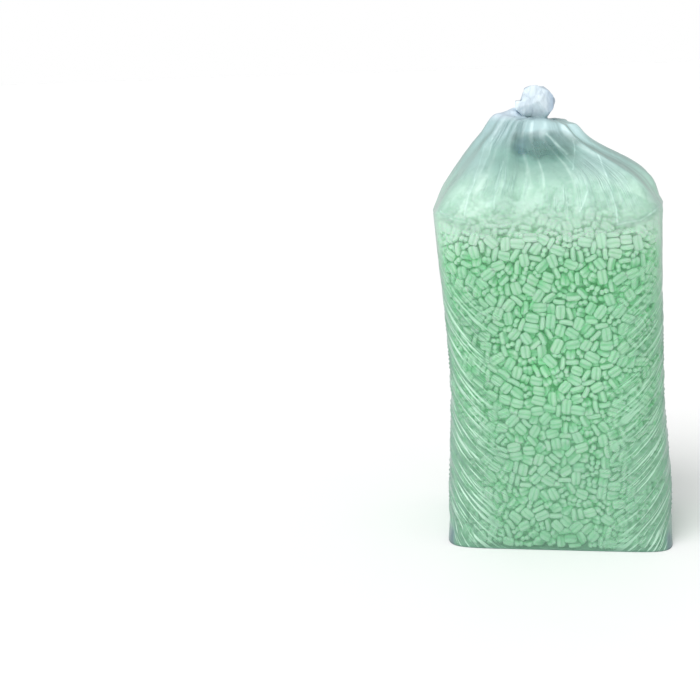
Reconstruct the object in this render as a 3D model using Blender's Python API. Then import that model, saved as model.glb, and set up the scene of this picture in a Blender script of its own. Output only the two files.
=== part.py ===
"""A tied bag of packing peanuts.

A gusseted tube of clear film with a welded flat base holds loose two-lobed starch peanuts.
Its neck is gathered into pleats and tied in an overhand knot, and the ruffled mouth stands up above it.
Metres, +Z up. The origin is on the floor at the middle of the bag's whole extent, and the front faces -Y.
"""

import math
import random
from collections import namedtuple

import bmesh
import bpy
import numpy as np
from mathutils import Euler, Matrix, Vector
from mathutils.bvhtree import BVHTree

# The filled body of the bag
BASE_WIDTH = 0.74
BASE_DEPTH = 0.59
FOOT_WIDTH = 0.74
FOOT_DEPTH = 0.585
FOOT_HEIGHT = 0.075
WAIST_WIDTH = 0.695
WAIST_DEPTH = 0.555
WAIST_HEIGHT = 0.553
SHOULDER_WIDTH = 0.729
SHOULDER_DEPTH = 0.58
SHOULDER_HEIGHT = 1.093
FOOT_SHIFT = 0.017
WAIST_SHIFT = 0.004
SHOULDER_SHIFT = -0.023
EAR_SQUARENESS = 9.0
BODY_SQUARENESS = 4.6
ROOF_SQUARENESS = 3.4
COLLAR_SQUARENESS = 2.4
OVAL = 2

# The gathered film above the fill, up to the tied neck
ROOF_WIDTH = 0.65
ROOF_DEPTH = 0.49
ROOF_HEIGHT = SHOULDER_HEIGHT + 0.090
ROOF_SHIFT = -0.023
COLLAR_WIDTH = 0.326
COLLAR_DEPTH = 0.23
COLLAR_HEIGHT = ROOF_HEIGHT + 0.147
COLLAR_SHIFT = -0.069
CREST_WIDTH = 0.25
CREST_DEPTH = 0.165
CREST_HEIGHT = COLLAR_HEIGHT + 0.046
CREST_SHIFT = -0.067
THROAT_WIDTH = 0.13
THROAT_DEPTH = 0.10
THROAT_HEIGHT = CREST_HEIGHT + 0.006
THROAT_SHIFT = -0.058
NECK_RADIUS = 0.026
NECK_HEIGHT = CREST_HEIGHT
NECK_SHIFT = -0.052

# How far the gathered film stands higher at its left than at its middle
COLLAR_TILT = 0.010
CREST_TILT = 0.024
THROAT_TILT = 0.006

# The mouth of the bag above the knot
MOUTH_WIDTH = 0.118
MOUTH_DEPTH = 0.098
MOUTH_RISE = 0.058
RIM_WIDTH = 0.074
RIM_DEPTH = 0.062
RIM_RISE = 0.096
MOUTH_SHIFT = 0.002
RIM_RUFFLE = 0.008

# Pleats gathered in by the knot: how far they stand out at each level
PLEATS = 14
STATIONS_PER_PLEAT = 4
ROOF_PLEAT = 0.012
COLLAR_PLEAT = 0.017
CREST_PLEAT = 0.011
THROAT_PLEAT = 0.005
MOUTH_PLEAT = 0.013
PLEAT_VARIATION = 0.65
NECK_TWIST = math.radians(28)

# The overhand knot's own turn of gathered film round the neck
KNOT_TURNS = 1.25
KNOT_THICKNESS = 0.026
KNOT_RISE = 0.030
KNOT_REACH = 0.008
KNOT_SWELL = 0.6
KNOT_TIP_SHARE = 0.25

FILM_WALL = 0.0006
SEAT_GAP = 0.0003

# The fill, and one peanut of it
FILL_RIM_DROP = 0.048
FILL_RIM_HEIGHT = SHOULDER_HEIGHT - FILL_RIM_DROP
FILL_CROWN = 0.135
FILL_SIDE_RISE = 0.030
FILL_FRONT_DIP = 0.030
FILL_FOOT_ROUND = 0.045
PEANUT_LENGTH = 0.041
PEANUT_LOBE_RADIUS = 0.0092
PEANUT_LOBE_SPACING = 0.0145
PEANUT_END_LENGTH = 0.004
PEANUT_END_SHARE = 0.72
PACKED_CELL = 0.048
PACKED_RISE = 0.012
PACKED_JITTER = 0.007
LOOSE_PEANUTS = 22
LOOSE_SPREAD = 0.62
LOOSE_TILT = math.radians(14)

# Fineness of the facets, and the seed of everything irregular
CURVE_STEPS = 2400
LOBE_STEPS = 4
KNOT_STEPS = 20
KNOT_SIDES = 8
SEED = 7

FILM_COLOUR = (0.80, 0.90, 0.90)
FILM_ALPHA = 0.30
PEANUT_COLOUR = (0.60, 0.86, 0.68)

FIELDS = "spans height width depth squareness shift pleat tilt twist ruffle"
Level = namedtuple("Level", FIELDS, defaults=(0, 0, 0, 0, 0))


def film_levels():
    """The bag's sections from its base to its mouth. spans is how many rows of facets reach the next one."""
    mouth_shift = NECK_SHIFT + MOUTH_SHIFT
    mouth_twist = 2 * NECK_TWIST
    neck_width = 2 * NECK_RADIUS
    return [
        Level(1, 0, BASE_WIDTH, BASE_DEPTH, EAR_SQUARENESS, FOOT_SHIFT),
        Level(1, FOOT_HEIGHT, FOOT_WIDTH, FOOT_DEPTH, BODY_SQUARENESS, FOOT_SHIFT),
        Level(2, WAIST_HEIGHT, WAIST_WIDTH, WAIST_DEPTH, BODY_SQUARENESS, WAIST_SHIFT),
        Level(2, SHOULDER_HEIGHT, SHOULDER_WIDTH, SHOULDER_DEPTH, BODY_SQUARENESS, SHOULDER_SHIFT),
        Level(2, ROOF_HEIGHT, ROOF_WIDTH, ROOF_DEPTH, ROOF_SQUARENESS, ROOF_SHIFT, ROOF_PLEAT),
        Level(2, COLLAR_HEIGHT, COLLAR_WIDTH, COLLAR_DEPTH, COLLAR_SQUARENESS, COLLAR_SHIFT, COLLAR_PLEAT,
              COLLAR_TILT),
        Level(1, CREST_HEIGHT, CREST_WIDTH, CREST_DEPTH, OVAL, CREST_SHIFT, CREST_PLEAT, CREST_TILT),
        Level(1, THROAT_HEIGHT, THROAT_WIDTH, THROAT_DEPTH, OVAL, THROAT_SHIFT, THROAT_PLEAT, THROAT_TILT,
              NECK_TWIST / 3),
        Level(1, NECK_HEIGHT, neck_width, neck_width, OVAL, NECK_SHIFT, twist=NECK_TWIST),
        Level(2, NECK_HEIGHT + KNOT_RISE, neck_width, neck_width, OVAL, NECK_SHIFT, twist=NECK_TWIST),
        Level(1, NECK_HEIGHT + MOUTH_RISE, MOUTH_WIDTH, MOUTH_DEPTH, OVAL, mouth_shift, MOUTH_PLEAT,
              twist=mouth_twist, ruffle=RIM_RUFFLE / 2),
        Level(0, NECK_HEIGHT + RIM_RISE, RIM_WIDTH, RIM_DEPTH, OVAL, mouth_shift, MOUTH_PLEAT,
              twist=mouth_twist, ruffle=RIM_RUFFLE),
    ]


def smooth_slopes(where, values):
    """Slopes of a curve through the values that never overshoots them."""
    steps = np.diff(where)
    rises = np.diff(values, axis=0) / steps[:, None]
    slopes = np.zeros_like(values)
    slopes[0], slopes[-1] = rises[0], rises[-1]
    before, after = rises[:-1], rises[1:]
    same_way = before * after > 0
    blend = 2 * before * after / np.where(same_way, before + after, 1)
    slopes[1:-1] = np.where(same_way, blend, 0)
    return slopes


def smooth_curve(where, values, wanted):
    """The values' smooth curve, read at the wanted places."""
    slopes = smooth_slopes(where, values)
    found = []
    for place in wanted:
        i = int(np.clip(np.searchsorted(where, place, side="right") - 1, 0, len(where) - 2))
        step = where[i + 1] - where[i]
        t = (place - where[i]) / step
        found.append(
            (2 * t**3 - 3 * t**2 + 1) * values[i]
            + (t**3 - 2 * t**2 + t) * step * slopes[i]
            + (3 * t**2 - 2 * t**3) * values[i + 1]
            + (t**3 - t**2) * step * slopes[i + 1]
        )
    return found


def film_rings(levels):
    """Every ring of the film, as Levels, with the rows between the named ones filled in smoothly."""
    values = np.array([level[1:] for level in levels], float)
    reach = np.linalg.norm(np.diff(values[:, :2], axis=0), axis=1)
    where = np.concatenate([[0], np.cumsum(reach)])
    wanted = [0.0]
    for i, level in enumerate(levels[:-1]):
        for step in range(1, level.spans + 1):
            wanted.append(where[i] + (where[i + 1] - where[i]) * step / level.spans)
    return [Level(0, *found) for found in smooth_curve(where, values, wanted)]


def section_at(height):
    """The film's facets at a height: where its left and right sides and its front stand."""
    rings = film_rings(film_levels())
    heights = [ring.height for ring in rings]
    below = [i for i, at in enumerate(heights[:-1]) if at <= height][-1]
    share = (height - heights[below]) / (heights[below + 1] - heights[below])
    lower, upper = np.array(rings[below]), np.array(rings[below + 1])
    here = Level(*(lower + share * (upper - lower)))
    return here.shift - here.width / 2, here.shift + here.width / 2, here.depth / 2


def room_at(height):
    """The room that the film leaves from half a cell below a height to half a cell above it.

    It is a half width, a half depth and a shift to the side.
    """
    near = [section_at(max(0.0, height + move)) for move in (-PACKED_CELL / 2, 0, PACKED_CELL / 2)]
    left, right = max(side[0] for side in near), min(side[1] for side in near)
    return (right - left) / 2, min(side[2] for side in near), (right + left) / 2


def plan_curve(half_width, half_depth, squareness, count, start=0.0):
    """Points evenly spaced round a rounded rectangle, and its outward normals there.

    It starts that share of a pace past the middle of the front and runs towards +X.
    """
    angles = np.linspace(-math.pi / 2, 1.5 * math.pi, CURVE_STEPS + 1)
    half = np.array([half_width, half_depth])
    circle = np.column_stack([np.cos(angles), np.sin(angles)])
    fine = half * np.sign(circle) * np.abs(circle) ** (2 / squareness)
    run = np.concatenate([[0], np.cumsum(np.linalg.norm(np.diff(fine, axis=0), axis=1))])
    paces = (np.arange(count) + start) / count % 1.0 * run[-1]
    points = np.column_stack([np.interp(paces, run, fine[:, 0]), np.interp(paces, run, fine[:, 1])])
    normals = np.sign(points) * np.abs(points / half) ** (squareness - 1) / half
    return points, normals / np.linalg.norm(normals, axis=1)[:, None]


def pleat_wave(noise):
    """How far each station of a ring stands out of it, from -1 in a valley to 1 on a ridge."""
    wave = []
    for _ in range(PLEATS):
        depth = 1 + PLEAT_VARIATION * noise.uniform(-1, 1)
        wave += [depth * math.cos(2 * math.pi * i / STATIONS_PER_PLEAT) for i in range(STATIONS_PER_PLEAT)]
    return np.array(wave)


def ring_points(ring, wave):
    points, normals = plan_curve(ring.width / 2, ring.depth / 2, ring.squareness, len(wave))
    points = points + normals * (ring.pleat * wave)[:, None]
    turn = Matrix.Rotation(ring.twist, 2)
    found = []
    for point, lift in zip(points, np.roll(wave, STATIONS_PER_PLEAT * 2)):
        x, y = turn @ Vector(point)
        z = ring.height + ring.ruffle * lift - ring.tilt * x / (ring.width / 2)
        found.append(Vector((x + ring.shift, y, z)))
    return found


def link_new(name, bm, material):
    """A new object in the scene from a bmesh, smooth between its sharper edges."""
    mesh = bpy.data.meshes.new(name)
    bmesh.ops.recalc_face_normals(bm, faces=bm.faces)
    bm.to_mesh(mesh)
    bm.free()
    mesh.shade_smooth()
    mesh.set_sharp_from_angle(angle=math.radians(50))
    mesh.materials.append(material)
    obj = bpy.data.objects.new(name, mesh)
    bpy.context.scene.collection.objects.link(obj)
    return obj


def loft(bm, rings):
    """Quads between rings of points, each ring closed. It returns the rings' vertices."""
    made = [[bm.verts.new(p) for p in ring] for ring in rings]
    for lower, upper in zip(made, made[1:]):
        for i in range(len(lower)):
            j = (i + 1) % len(lower)
            bm.faces.new((lower[i], lower[j], upper[j], upper[i]))
    return made


def knot_wrap(material):
    """The turn of gathered film that the neck passes through: a rope that thins into it at both ends."""
    along = [i / KNOT_STEPS for i in range(KNOT_STEPS + 1)]
    swell = [max(0.0, math.sin(math.pi * t)) ** KNOT_SWELL for t in along]
    around = [2 * math.pi * i / KNOT_SIDES for i in range(KNOT_SIDES)]
    middle = Vector((NECK_SHIFT, 0, NECK_HEIGHT + KNOT_RISE / 2))
    path = []
    for t, s in zip(along, swell):
        angle = 2 * math.pi * KNOT_TURNS * (t - 0.5) - math.pi / 2
        reach = NECK_RADIUS + KNOT_REACH * s
        out = Vector((reach * math.cos(angle), reach * math.sin(angle), KNOT_RISE * (t - 0.5)))
        path.append(middle + out)
    rings = []
    for i, point in enumerate(path):
        ahead = path[min(i + 1, KNOT_STEPS)] - path[max(i - 1, 0)]
        outward = (point - middle).cross(ahead).normalized()
        across = ahead.cross(outward).normalized()
        radius = KNOT_THICKNESS / 2 * (KNOT_TIP_SHARE + (1 - KNOT_TIP_SHARE) * swell[i])
        rings.append([point + radius * (math.cos(a) * across + math.sin(a) * outward) for a in around])
    bm = bmesh.new()
    made = loft(bm, rings)
    bm.faces.new(made[0])
    bm.faces.new(made[-1])
    wrap = link_new("knot_wrap", bm, material)
    wrap.hide_render = True
    wrap.display_type = "WIRE"
    return wrap


def film_bag(material, noise):
    """The bag itself: one film from its welded base, up the body, through the knot, to its open mouth."""
    wave = pleat_wave(noise)
    bm = bmesh.new()
    made = loft(bm, [ring_points(ring, wave) for ring in film_rings(film_levels())])
    bm.faces.new(made[0])
    bag = link_new("film_bag", bm, material)
    wall = bag.modifiers.new("film wall", "SOLIDIFY")
    wall.thickness = FILM_WALL
    wall.offset = -1
    knot = bag.modifiers.new("knot", "BOOLEAN")
    knot.operation = "UNION"
    knot.object = knot_wrap(material)


def facet_sag():
    """How far the film's flat facets cut inside its true curve, at the body's tightest corner."""
    count = PLEATS * STATIONS_PER_PLEAT
    points, _ = plan_curve(SHOULDER_WIDTH / 2, SHOULDER_DEPTH / 2, BODY_SQUARENESS, count)
    between, _ = plan_curve(SHOULDER_WIDTH / 2, SHOULDER_DEPTH / 2, BODY_SQUARENESS, count, start=0.5)
    chords = (points + np.roll(points, -1, axis=0)) / 2
    return float(np.linalg.norm(between - chords, axis=1).max())


def fill_side_heights():
    """The fill's rows of cells, from its foot on the film to its rim."""
    foot = FILM_WALL + SEAT_GAP
    rows = round((FILL_RIM_HEIGHT - FILL_FOOT_ROUND) / PACKED_CELL)
    rounding = [foot, foot + FILL_FOOT_ROUND / 4, FILL_FOOT_ROUND]
    return rounding + list(np.linspace(FILL_FOOT_ROUND, FILL_RIM_HEIGHT, rows + 1)[1:])


def fill_ring(height, columns, start):
    """The fill's outline at a height, inside the film by its wall, the seat gap and the peanuts' rise."""
    half_width, half_depth, shift = room_at(height)
    points, normals = plan_curve(half_width, half_depth, BODY_SQUARENESS, columns, start)
    inset = FILM_WALL + SEAT_GAP + facet_sag() + PACKED_RISE
    below = max(0.0, 1 - height / FILL_FOOT_ROUND)
    inset += FILL_FOOT_ROUND * (1 - math.sqrt(1 - below**2))
    return points - normals * inset + (shift, 0)


def heap_grid(rim, across, deep):
    """The heap's top as a grid of (x, y). Its edge is the rim, and its inside is blended from the edge."""
    front = rim[: across + 1]
    right = rim[across : across + deep + 1]
    back = rim[across + deep : 2 * across + deep + 1][::-1]
    left = np.concatenate([rim[2 * across + deep :], rim[:1]])[::-1]
    grid = np.zeros((deep + 1, across + 1, 2))
    for j, v in enumerate(np.linspace(0, 1, deep + 1)):
        for i, u in enumerate(np.linspace(0, 1, across + 1)):
            sides = (1 - v) * front[i] + v * back[i] + (1 - u) * left[j] + u * right[j]
            corners = (1 - v) * ((1 - u) * front[0] + u * front[-1]) + v * ((1 - u) * back[0] + u * back[-1])
            grid[j, i] = sides - corners
    return grid


def heap_shares(x, y):
    """How far a place is across and back on the heap, each from -1 to 1."""
    half_width, half_depth, shift = room_at(FILL_RIM_HEIGHT)
    return max(-1.0, min(1.0, (x - shift) / half_width)), max(-1.0, min(1.0, y / half_depth))


def heap_edge(x, y):
    """The heap's edge against the film stands higher at the sides and lower at the front."""
    across, back = heap_shares(x, y)
    dip = max(0.0, -back) ** 2 * (1 - across**2)
    return FILL_RIM_HEIGHT + FILL_SIDE_RISE * across**2 - FILL_FRONT_DIP * dip


def heap_height(x, y):
    """The heap is highest over the middle and falls to its edge."""
    out = min(1.0, math.hypot(*heap_shares(x, y)))
    return heap_edge(x, y) + FILL_CROWN * (1 - out**2)


def fill_row(ring, height):
    """One row of the fill's side. The rows spread apart or close up towards the heap's uneven edge."""
    lift = max(0.0, (height - FILL_FOOT_ROUND) / (FILL_RIM_HEIGHT - FILL_FOOT_ROUND)) ** 4
    return [(x, y, height + lift * (heap_edge(x, y) - FILL_RIM_HEIGHT)) for x, y in ring]


def peanut_fill(material, noise):
    """The packed peanuts as one mass: a cell for each peanut's back, poked outwards into a rounded stud."""
    across = round(SHOULDER_WIDTH / PACKED_CELL)
    deep = round(SHOULDER_DEPTH / PACKED_CELL)
    columns = 2 * (across + deep)
    start = -across / 2
    heights = fill_side_heights()
    rings = [fill_ring(height, columns, start) for height in heights]
    bm = bmesh.new()
    made = loft(bm, [fill_row(ring, height) for ring, height in zip(rings, heights)])
    grid = heap_grid(rings[-1], across, deep)
    rim = made[-1]
    top = {}
    for i in range(across + 1):
        top[0, i] = rim[i]
        top[deep, i] = rim[2 * across + deep - i]
    for j in range(1, deep):
        top[j, across] = rim[across + j]
        top[j, 0] = rim[columns - j]
        for i in range(1, across):
            x, y = grid[j, i]
            top[j, i] = bm.verts.new((x, y, heap_height(x, y)))
    for j in range(deep):
        for i in range(across):
            bm.faces.new((top[j, i], top[j, i + 1], top[j + 1, i + 1], top[j + 1, i]))
    bm.faces.new(made[0])
    bmesh.ops.recalc_face_normals(bm, faces=bm.faces)
    for vert in bm.verts:
        if vert.co.z > FILL_FOOT_ROUND:
            sideways = Vector([noise.uniform(-1, 1) * PACKED_JITTER for _ in range(3)])
            vert.co += sideways - vert.normal * max(0.0, sideways.dot(vert.normal))
    backs = [face for face in bm.faces if max(vert.co.z for vert in face.verts) > FILL_FOOT_ROUND]
    bmesh.ops.poke(bm, faces=backs, offset=PACKED_RISE, center_mode="MEAN")
    return link_new("peanut_fill", bm, material)


def peanut_section():
    """One peanut's end-on outline: two round lobes side by side, with a groove between them."""
    reach = PEANUT_LOBE_SPACING / 2
    open_angle = math.pi - math.acos(reach / PEANUT_LOBE_RADIUS)
    outline = []
    for side, offset in ((1, 0.0), (-1, math.pi)):
        for i in range(LOBE_STEPS):
            angle = open_angle * (2 * i / LOBE_STEPS - 1) + offset
            across = side * reach + PEANUT_LOBE_RADIUS * math.cos(angle)
            outline.append((across, PEANUT_LOBE_RADIUS * math.sin(angle)))
    return outline


def peanut_mesh(material):
    """A short length of the two-lobed extrusion, lying along X, with softened ends."""
    half = PEANUT_LENGTH / 2
    stations = [
        (-half, PEANUT_END_SHARE),
        (-half + PEANUT_END_LENGTH, 1),
        (half - PEANUT_END_LENGTH, 1),
        (half, PEANUT_END_SHARE),
    ]
    bm = bmesh.new()
    made = loft(bm, [[(x, share * y, share * z) for y, z in peanut_section()] for x, share in stations])
    bm.faces.new(made[0])
    bm.faces.new(made[-1])
    first = link_new("loose_peanut_01", bm, material)
    return first


def world_tree(obj):
    bpy.context.view_layer.update()
    points = [obj.matrix_world @ v.co for v in obj.data.vertices]
    return BVHTree.FromPolygons(points, [tuple(p.vertices) for p in obj.data.polygons])


def seat(peanut, landed):
    """Lowers a peanut until it would touch what has landed, and leaves the seat gap under it."""
    start = FILL_RIM_HEIGHT + FILL_CROWN + PEANUT_LENGTH
    step = PEANUT_LOBE_RADIUS / 2
    finest = SEAT_GAP / 10

    def touches(height):
        peanut.location.z = height
        tree = world_tree(peanut)
        return any(tree.overlap(other) for other in landed)

    clear = start
    while not touches(clear - step) and clear > step:
        clear -= step
    blocked = clear - step
    while clear - blocked > finest:
        middle = (clear + blocked) / 2
        if touches(middle):
            blocked = middle
        else:
            clear = middle
    peanut.location.z = clear + SEAT_GAP
    landed.append(world_tree(peanut))


def loose_peanuts(fill, material, noise):
    """The peanuts that lie singly on the heap, in the space under the gathered film."""
    half_width, half_depth, shift = room_at(FILL_RIM_HEIGHT)
    golden = math.pi * (3 - math.sqrt(5))
    landed = [world_tree(fill)]
    first = peanut_mesh(material)
    for i in range(LOOSE_PEANUTS):
        peanut = first
        if i:
            peanut = bpy.data.objects.new(f"loose_peanut_{i + 1:02d}", first.data)
            bpy.context.scene.collection.objects.link(peanut)
        out = LOOSE_SPREAD * math.sqrt((i + 0.5) / LOOSE_PEANUTS)
        x, y = shift + out * half_width * math.cos(golden * i), out * half_depth * math.sin(golden * i)
        tilt = [noise.uniform(-LOOSE_TILT, LOOSE_TILT) for _ in range(2)]
        peanut.location = (x, y, 0)
        peanut.rotation_euler = Euler((*tilt, noise.uniform(0, math.pi)))
        seat(peanut, landed)


def principled(name, colour, roughness, alpha=1.0):
    material = bpy.data.materials.new(name)
    material.use_nodes = True
    shader = material.node_tree.nodes["Principled BSDF"]
    shader.inputs["Base Color"].default_value = (*colour, 1)
    shader.inputs["Roughness"].default_value = roughness
    shader.inputs["Metallic"].default_value = 0
    shader.inputs["Alpha"].default_value = alpha
    return material


def main():
    for obj in list(bpy.data.objects):
        bpy.data.objects.remove(obj, do_unlink=True)
    noise = random.Random(SEED)
    film = principled("clear film", FILM_COLOUR, 0.2, FILM_ALPHA)
    foam = principled("starch foam", PEANUT_COLOUR, 0.75)
    film_bag(film, noise)
    fill = peanut_fill(foam, noise)
    loose_peanuts(fill, foam, noise)


main()
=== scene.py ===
"""Looks for the tied bag of packing peanuts: real peanuts packed against a wrinkled, see-through film.

Metres, in the row's frame: +Z up, the front faces -Y.
"""

import math
import random
from collections import namedtuple

import bpy
import numpy as np
from mathutils import Matrix, Vector, noise


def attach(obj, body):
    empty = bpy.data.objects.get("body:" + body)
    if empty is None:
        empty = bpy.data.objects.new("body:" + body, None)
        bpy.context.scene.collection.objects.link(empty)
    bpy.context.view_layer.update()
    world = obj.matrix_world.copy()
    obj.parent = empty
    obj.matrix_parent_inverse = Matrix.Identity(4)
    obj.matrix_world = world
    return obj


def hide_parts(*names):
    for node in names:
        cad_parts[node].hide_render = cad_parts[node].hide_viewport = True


SEED = 11

# The bag's sections, as in the solid
SQUARENESS = 4.6
FOOT_SHIFT = 0.017
WAIST_SHIFT = 0.004
SHOULDER_SHIFT = -0.028
NECK_SHIFT = -0.069
SHOULDER_HEIGHT = 1.093
COLLAR_HEIGHT = 1.330
NECK_HEIGHT = 1.362
TUFT_SHIFT = -0.052

# The pleats, as in the solid
PLEATS = 14
PLEAT_VARIATION = 0.65
PLEAT_SEED = 7

# The film's mesh
COLUMNS = 416
BASE_ROWS = 7
BODY_ROWS = 128
ROOF_ROWS = 46
TUFT_ROWS = 52

# One peanut, and its rings from end to end: how far along each lies and how wide it is, as shares
PEANUT_RINGS = ((-1, 0.46), (-0.91, 0.79), (-0.66, 0.97), (0, 1.02), (0.66, 0.97), (0.91, 0.79), (1, 0.46))
PEANUT_LENGTH = 0.043
LOBE_RADIUS = 0.0084
LOBE_SPACING = 0.0152
LOBE_STEPS = 6
PEANUT_KINDS = 10

# The packed layer of peanuts: its room to the film, its depth and outline, and the heap's form
FILM_CLEARANCE = 0.0035
PEANUT_MARGIN = 0.0005
LAYER_DEPTH = 0.043
LAYER_HALF_WIDTH = 0.36
LAYER_HALF_DEPTH = 0.285
RIM_HEIGHT = 1.050
CROWN_RISE = 0.140
FRONT_DIP = 0.030
SIDE_RISE = 0.035
HEAP_BAND = 0.045
BASE_BAND = 0.035

# How the packing goes: how full it is, its steps, and how far pushes move and turn a peanut in one step
PACKING = 0.52
PACKING_STEPS = 110
PAIR_STEPS = 4
PAIR_SLACK = 0.004
MOVE_SHARE = 2.6
TURN_SHARE = 0.011**2 * 9
MOST_MOVE = 0.004
MOST_TURN = 0.25
PULL = 0.0005
PULL_FADE = 0.75

# The foam that shows deep between the outer peanuts
CORE_INSET = 0.040
CORE_COLUMNS = 96
CORE_ROWS = 30
CORE_LUMPS = 0.006
CORE_LUMP_SCALE = 45

# The camera, fitted to the photograph
AIM = Vector((0.017, 0, 0.7))
CAMERA_AZIMUTH = math.radians(-0.8)
CAMERA_ELEVATION = math.radians(12)
CAMERA_DISTANCE = 4.2
IMAGE_SIDE = 700
FOCAL_PIXELS = 1228
AIM_PIXEL = (559.0, 321.6)
SENSOR = 36
SKY_STRENGTH = 0.62
KEY_PLACE = (-1.8, -2.6, 5.6)
KEY_SOFTNESS = 40
KEY_STRENGTH = 1.8
FLOOR_SIDE = 400.0
FLOOR_DROP = 0.0005

# How far the low folds sag between the middle of a face and the bag's upright edges
SAG = 0.22
SIDE_SAG = 0.3
HALF_WIDTH = 0.37
HALF_DEPTH = 0.29

# How far the film stands out: lumps over the peanuts, low folds, upright folds, and the roof's folds
FINE_LUMPS = 0.0010
BROAD_LUMPS = 0.0016
FOLD_RISE = 0.0048
UPRIGHT_RISE = 0.0016
BROAD_RISE = 0.012
CREST_RISE = 0.010
HAIR_RISE = 0.003
CREASE_RISE = 0.45

# The tied tuft: its middle, its flat facets as ways out and distances, its ruffles, and the lobe on its left
TUFT_RUFFLE = 0.0024
TUFT_TWIST = 7
TUFT_MIDDLE = np.array([-0.050, 0.0, 1.430])
TUFT_FACETS = [
    ((-1.00, 0.00, 0.00), 0.048),
    ((-0.52, -0.20, 0.85), 0.060),
    ((0.00, 0.15, 1.00), 0.050),
    ((0.42, -0.20, 0.91), 0.047),
    ((0.76, 0.20, 0.66), 0.044),
    ((1.00, -0.20, 0.00), 0.048),
    ((0.84, 0.10, -0.54), 0.047),
    ((-0.84, -0.10, -0.54), 0.047),
    ((-0.45, -1.00, 0.35), 0.038),
    ((0.50, -1.00, 0.15), 0.036),
    ((0.05, -1.00, 0.50), 0.037),
    ((-0.15, -1.00, -0.40), 0.036),
    ((0.40, 1.00, 0.30), 0.037),
    ((-0.50, 1.00, 0.10), 0.036),
    ((0.10, 1.00, -0.40), 0.038),
]
LOBE_MIDDLE = (-0.120, -0.012, 1.414)
LOBE_REACH = 0.036
LOBE_SIDES = (-0.102, -0.125)
LOBE_TOP = 1.436

# Where the film runs down smooth from the neck in front, and how far; the film's painted highlight below the
# knot lies round the same place
NECK_FRONT = (-0.050, -0.080, 1.352)
NECK_REACH = 0.05
NECK_SMOOTHING = 0.75

# The faded field of print on the back, and the clearer film in front of it
PRINT_PLACE = (-0.045, 1.266)
CLEAR_PLACE = (-0.040, 1.302)
PRINT_HALF_WIDTH = 0.120
PRINT_HALF_HEIGHT = 0.048

# The front's long creases: how strong each is (its ridge's height and its painted highlight), how wide, and
# the X and Z of the places it runs through
BRIGHTEST = 1.3
CREASES = [
    (0.7, 0.0035, ((0.110, 1.325), (0.128, 1.279), (0.151, 1.223), (0.174, 1.167), (0.190, 1.069))),
    (0.5, 0.0030, ((0.171, 1.276), (0.218, 1.222), (0.276, 1.163), (0.324, 1.116))),
    (BRIGHTEST, 0.0060, ((-0.027, 1.333), (0.007, 1.303), (0.038, 1.274))),
    (0.6, 0.0035, ((0.057, 1.314), (0.063, 1.290), (0.052, 1.229))),
    (0.4, 0.0030, ((-0.218, 1.337), (-0.227, 1.276), (-0.248, 1.215), (-0.282, 1.096))),
    (0.4, 0.0030, ((-0.199, 1.324), (-0.203, 1.276), (-0.228, 1.229))),
    (0.4, 0.0030, ((-0.163, 1.256), (-0.180, 1.191), (-0.187, 1.119))),
    (0.5, 0.0040, ((0.098, 1.163), (0.077, 1.107))),
    (0.8, 0.0045, ((-0.359, 1.107), (-0.313, 1.086), (-0.267, 1.076))),
    (0.8, 0.0045, ((0.190, 1.066), (0.257, 1.076), (0.331, 1.116))),
]

Level = namedtuple("Level", "height width depth squareness shift pleat tilt", defaults=(0, 0))

BODY = [
    Level(0, 0.740, 0.590, 9.0, FOOT_SHIFT),
    Level(0.075, 0.740, 0.585, SQUARENESS, FOOT_SHIFT),
    Level(0.553, 0.695, 0.555, SQUARENESS, WAIST_SHIFT),
    Level(SHOULDER_HEIGHT, 0.729, 0.580, SQUARENESS, SHOULDER_SHIFT),
]
ROOF = [
    Level(1.183, 0.650, 0.490, 3.4, -0.023, 0.009),
    Level(COLLAR_HEIGHT, 0.326, 0.230, 2.4, -0.069, 0.011, 0.010),
    Level(1.376, 0.244, 0.165, 2, -0.064, 0.007, 0.016),
    Level(1.380, 0.140, 0.110, 2, -0.058, 0.004, 0.008),
    Level(NECK_HEIGHT, 0.072, 0.062, 2, TUFT_SHIFT),
]
TUFT = [
    Level(NECK_HEIGHT + 0.016, 0.066, 0.056, 2, TUFT_SHIFT),
    Level(NECK_HEIGHT + 0.034, 0.100, 0.084, 2, TUFT_SHIFT),
    Level(NECK_HEIGHT + 0.062, 0.124, 0.100, 2, TUFT_SHIFT),
    Level(NECK_HEIGHT + 0.092, 0.118, 0.096, 2, TUFT_SHIFT),
    Level(NECK_HEIGHT + 0.116, 0.086, 0.070, 2, TUFT_SHIFT),
    Level(NECK_HEIGHT + 0.124, 0.040, 0.034, 2, TUFT_SHIFT),
    Level(NECK_HEIGHT + 0.104, 0.012, 0.010, 2, TUFT_SHIFT),
]


def smooth_curve(where, values, wanted):
    """The values' smooth curve without overshoot, read at the wanted places."""
    steps = np.diff(where)
    rises = np.diff(values, axis=0) / steps[:, None]
    slopes = np.zeros_like(values)
    slopes[0], slopes[-1] = rises[0], rises[-1]
    before, after = rises[:-1], rises[1:]
    same_way = before * after > 0
    slopes[1:-1] = np.where(same_way, 2 * before * after / np.where(same_way, before + after, 1), 0)
    i = np.clip(np.searchsorted(where, wanted, side="right") - 1, 0, len(where) - 2)
    step = steps[i][:, None]
    t = ((wanted - where[i]) / steps[i])[:, None]
    return (
        (2 * t**3 - 3 * t**2 + 1) * values[i]
        + (t**3 - 2 * t**2 + t) * step * slopes[i]
        + (3 * t**2 - 2 * t**3) * values[i + 1]
        + (t**3 - t**2) * step * slopes[i + 1]
    )


def profile(levels, rows):
    """Levels evenly spaced along the profile through the given ones."""
    values = np.array(levels, float)
    reach = np.linalg.norm(np.diff(values[:, :2] * (1, 0.5), axis=0), axis=1)
    where = np.concatenate([[0], np.cumsum(reach)])
    return smooth_curve(where, values, np.linspace(0, where[-1], rows + 1))


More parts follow.
